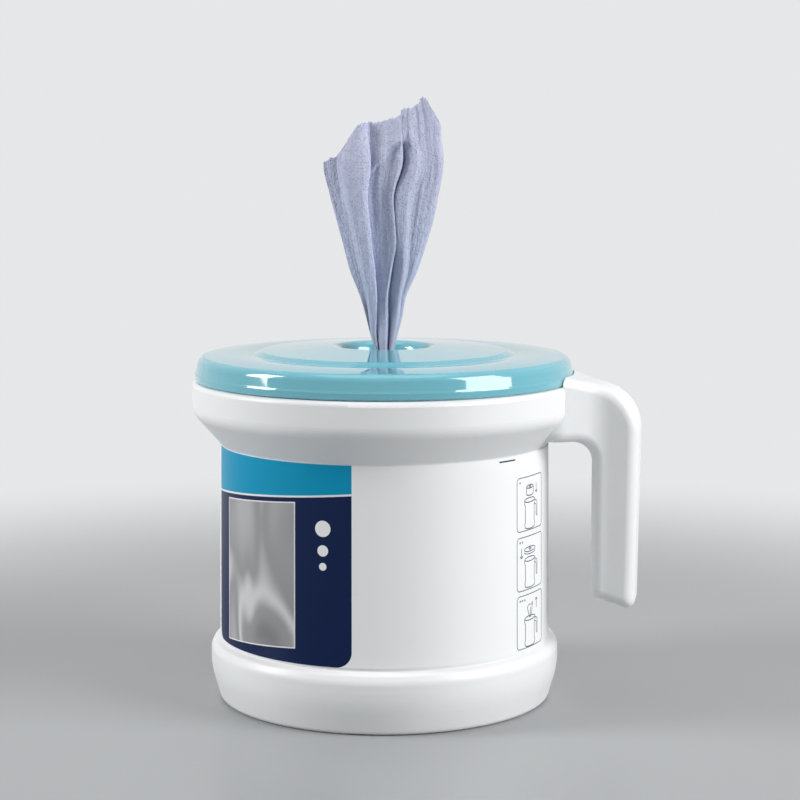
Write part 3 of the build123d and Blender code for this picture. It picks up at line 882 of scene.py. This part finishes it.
def step_pictures():
    """Three framed drawings, one above the other: put the roll in, close the lid, pull a sheet."""
    strokes = []
    middle = DRAWINGS_AT * pi * PRINT_RADIUS / 180
    for step, z in enumerate(FRAME_HEIGHTS):
        strokes.append(frame_line(middle, z, FRAME_HALF, FRAME_HALF, FRAME_CORNER))
        for dot in range(step + 1):
            strokes.append(arc(middle - 12.6 + 2.4 * dot, z + 12.8, 0.5, 0.5, steps=10))
    x = middle - HANDLE_ROOM
    # a roll that goes down into the bucket
    z = ROLL_DRAWING
    strokes += bucket_lines(x, z - 2.2)
    strokes += [arc(x, z + 13.6, 4.2, 1.0), arc(x, z + 13.6, 1.3, 0.4, steps=12)]
    left, right = moved_line(x, z, [(-4.2, 13.6), (-4.2, 9.4)]), moved_line(x, z, [(4.2, 13.6)])
    strokes.append(left + arc(x, z + 9.4, 4.2, 1.0, 180, 360, 12) + right)
    strokes += arrow_line(x + 8.4, z + 15.0, z + 9.0)
    # a lid that goes down onto it
    z = LID_DRAWING
    strokes += bucket_lines(x, z - 3.2)
    strokes += [arc(x, z + 10.6, 6.8, 1.4), arc(x, z + 10.8, 1.6, 0.5, steps=12)]
    strokes.append(arc(x, z + 9.2, 6.8, 1.4, 180, 360, 14))
    strokes += arrow_line(x - 9.6, z + 12.0, z + 6.0)
    # a sheet that is pulled up
    z = SHEET_DRAWING
    sheet = [(-0.8, 5.2), (-3.4, 11.6), (-1.2, 13.2), (1.4, 12.4), (3.4, 14.0), (0.8, 5.2)]
    strokes += bucket_lines(x, z - 3.0)
    strokes += [moved_line(x, z, sheet), moved_line(x, z, [(0, 5.4), (0.5, 11.0)])]
    strokes += arrow_line(x + 8.4, z + 9.6, z + 15.6)
    return strokes


def printed_lines_tree():
    """Thin ink along drawn lines, wrapped round the tapering label film."""
    tree, entry, leave = geometry_tree("printed lines", [
        ("Line Width", "NodeSocketFloat"), ("Film Radius", "NodeSocketFloat"),
        ("Film Taper", "NodeSocketFloat"), ("Film Foot", "NodeSocketFloat"),
        ("Unrolled Radius", "NodeSocketFloat"), ("Turned", "NodeSocketFloat"),
    ])
    curve = add_node(tree, "GeometryNodeMeshToCurve", in_Mesh=entry["Geometry"])
    fine = add_node(
        tree, "GeometryNodeResampleCurve", mode="LENGTH", in_Curve=curve.outputs[0], in_Length=0.0009
    )
    tip_radius = maths(tree, "MULTIPLY", entry["Line Width"], 0.5)
    tip = add_node(tree, "GeometryNodeCurvePrimitiveCircle", in_Resolution=6, in_Radius=tip_radius)
    drawn = add_node(
        tree, "GeometryNodeCurveToMesh", in_Curve=fine.outputs[0], in_Profile_Curve=tip.outputs[0],
        in_Fill_Caps=True,
    )
    place = add_node(tree, "GeometryNodeInputPosition").outputs[0]
    split = add_node(tree, "ShaderNodeSeparateXYZ", in_0=place).outputs
    above_foot = maths(tree, "SUBTRACT", split[2], entry["Film Foot"])
    climb = maths(tree, "MULTIPLY", above_foot, entry["Film Taper"])
    film = maths(tree, "SUBTRACT", entry["Film Radius"], climb)
    radius = maths(tree, "ADD", film, maths(tree, "MULTIPLY", split[1], INK_FLATNESS))
    turn = maths(tree, "ADD", maths(tree, "DIVIDE", split[0], entry["Unrolled Radius"]), entry["Turned"])
    towards_front = maths(tree, "MULTIPLY", radius, maths(tree, "COSINE", turn))
    around = add_node(
        tree, "ShaderNodeCombineXYZ", in_0=maths(tree, "MULTIPLY", radius, maths(tree, "SINE", turn)),
        in_1=maths(tree, "MULTIPLY", towards_front, -1.0), in_2=split[2],
    )
    wrapped = add_node(
        tree, "GeometryNodeSetPosition", in_Geometry=drawn.outputs[0], in_Position=around.outputs[0]
    )
    end_tree(tree, entry, leave, wrapped.outputs[0])
    return tree


def make_printed_lines(material):
    """The three drawings, in ink that stands a few hundredths of a millimetre off the film."""
    spots, edges = [], []
    for line in step_pictures():
        closed = len(line) > 3 and abs(line[0][0] - line[-1][0]) + abs(line[0][1] - line[-1][1]) < 1e-6
        line = line[:-1] if closed else line
        first = len(spots)
        spots += [(x * MM, 0.0, z * MM) for x, z in line]
        edges += [(first + step, first + step + 1) for step in range(len(line) - 1)]
        if closed:
            edges.append((len(spots) - 1, first))
    mesh = bpy.data.meshes.new("line_carrier")
    mesh.from_pydata(spots, edges, [])
    carrier = add_object("line_carrier", mesh)
    values = {
        "Line Width": LINE_WIDTH * MM,
        "Film Radius": FILM_BASE_RADIUS * MM,
        "Film Taper": (FILM_BASE_RADIUS - FILM_TOP_RADIUS) / (FILM_TOP_HEIGHT - FILM_BASE_HEIGHT),
        "Film Foot": FILM_BASE_HEIGHT * MM,
        "Unrolled Radius": PRINT_RADIUS * MM,
        "Turned": FRONT,
    }
    piece = grown("printed_lines", printed_lines_tree(), carrier, material, **values)
    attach(piece, "bucket")


# The making

set_camera()
set_world()
make_floor()
softbox("key", turn=65, rise=27, distance=2.2, size=(1.25, 1.3), power=47.5)
softbox("fill", turn=-82, rise=27, distance=2.2, size=(0.7, 1.2), power=37)
softbox("top", turn=0, rise=85, distance=1.8, size=(1.4, 1.4), power=8)

skin = moulded_skin_group()
paper_look = wiping_paper_group()
patch = printed_patch_group()

body_plastic = plastic(
    "bucket plastic", skin, (0.80, 0.805, 0.81), waviness=0.25, gloss=0.36, rubbing=0.08,
    Subsurface_Weight=0.12, Subsurface_Scale=0.004, Specular_IOR_Level=0.42,
)
lid_plastic = plastic(
    "lid plastic", skin, (0.23, 0.67, 0.78), waviness=0.06, gloss=0.07, rubbing=0.04,
    Transmission_Weight=0.45, IOR=1.47, Coat_Weight=0.6, Coat_Roughness=0.03,
)
nozzle_plastic = plastic("nozzle plastic", skin, (0.03, 0.16, 0.22), waviness=0.15, gloss=0.38, rubbing=0.06)
line_ink = plastic("line ink", skin, (0.03, 0.035, 0.09), waviness=0.05, gloss=0.35, rubbing=0.05)
pulled_paper = paper_material("pulled paper", paper_look, "cut")
loose_paper = paper_material("loose paper", paper_look, "cut")
wound_paper = paper_material("wound paper", paper_look)

set_material(nodes["bucket_body"], body_plastic)
set_material(nodes["hook_handle"], body_plastic)
set_material(nodes["wrap_label"], label_material(patch, skin))
set_material(nodes["lid_shell"], lid_plastic)
set_material(nodes["feed_nozzle"], nozzle_plastic)
set_material(nodes["nozzle_ring"], nozzle_plastic)

make_torn_sheet(pulled_paper)
make_wound_roll(wound_paper)
make_loose_turn(loose_paper)
make_printed_lines(line_ink)
